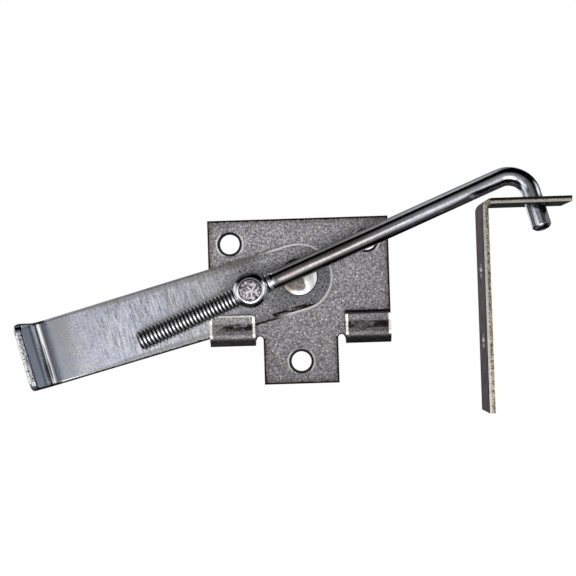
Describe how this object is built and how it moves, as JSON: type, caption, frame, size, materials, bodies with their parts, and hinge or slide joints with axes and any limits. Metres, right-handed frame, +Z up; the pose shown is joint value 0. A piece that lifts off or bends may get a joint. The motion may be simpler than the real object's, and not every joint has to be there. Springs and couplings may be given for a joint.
{
  "type": "jamb latch",
  "caption": "Over-centre jamb latch: a hand lever on a T-shaped plate draws a threaded hook rod against an L-shaped strike.",
  "frame": {"origin": "on the lever's pivot axis, in the plane of the surface that the plate is screwed to", "axes": "+Y into the mounting surface, so the plate's back faces +Y; +Z up along the plate, from its tongue to its head; +X to the right seen from the front"},
  "size_m": [0.1994, 0.0285, 0.0886],
  "materials": {
    "galvanised_plate": "mottled zinc coating on stamped steel",
    "zinc_rivet": "zinc plated, smooth domed head",
    "lever_steel": "zinc plated bar, faintly brushed across",
    "stud_steel": "turned steel with a matt top",
    "rod_steel": "bright zinc plated rod with a rolled thread",
    "strike_steel": "zinc plated strip with sheared edges"
  },
  "bodies": {
    "base": {"base_plate": "galvanised_plate", "pivot_rivet": "zinc_rivet"},
    "lever": {"lever": "lever_steel"},
    "stud": {"swivel_stud": "stud_steel"},
    "rod": {"hook_rod": "rod_steel"},
    "strike": {"strike_bracket": "strike_steel"}
  },
  "joints": [
    {"name": "lever_pivot", "type": "hinge", "parent": "base", "child": "lever", "pos_m": [0, -0.0055, 0], "axis": [0, 1, 0], "range_deg": [0, 210.2]},
    {"name": "stud_swivel", "type": "hinge", "parent": "lever", "child": "stud", "pos_m": [-0.01767, -0.013, -0.00477], "axis": [0, 1, 0], "range_deg": [-100, 115]},
    {"name": "rod_turn", "type": "hinge", "parent": "stud", "child": "rod", "pos_m": [-0.01767, -0.013, -0.00477], "axis": [0.9232, 0, 0.3843], "continuous": true},
    {"name": "strike_swivel", "type": "hinge", "parent": "rod", "child": "strike", "pos_m": [0.08659, -0.0162, 0.0242], "axis": [0, 0, 1], "continuous": true}
  ]
}
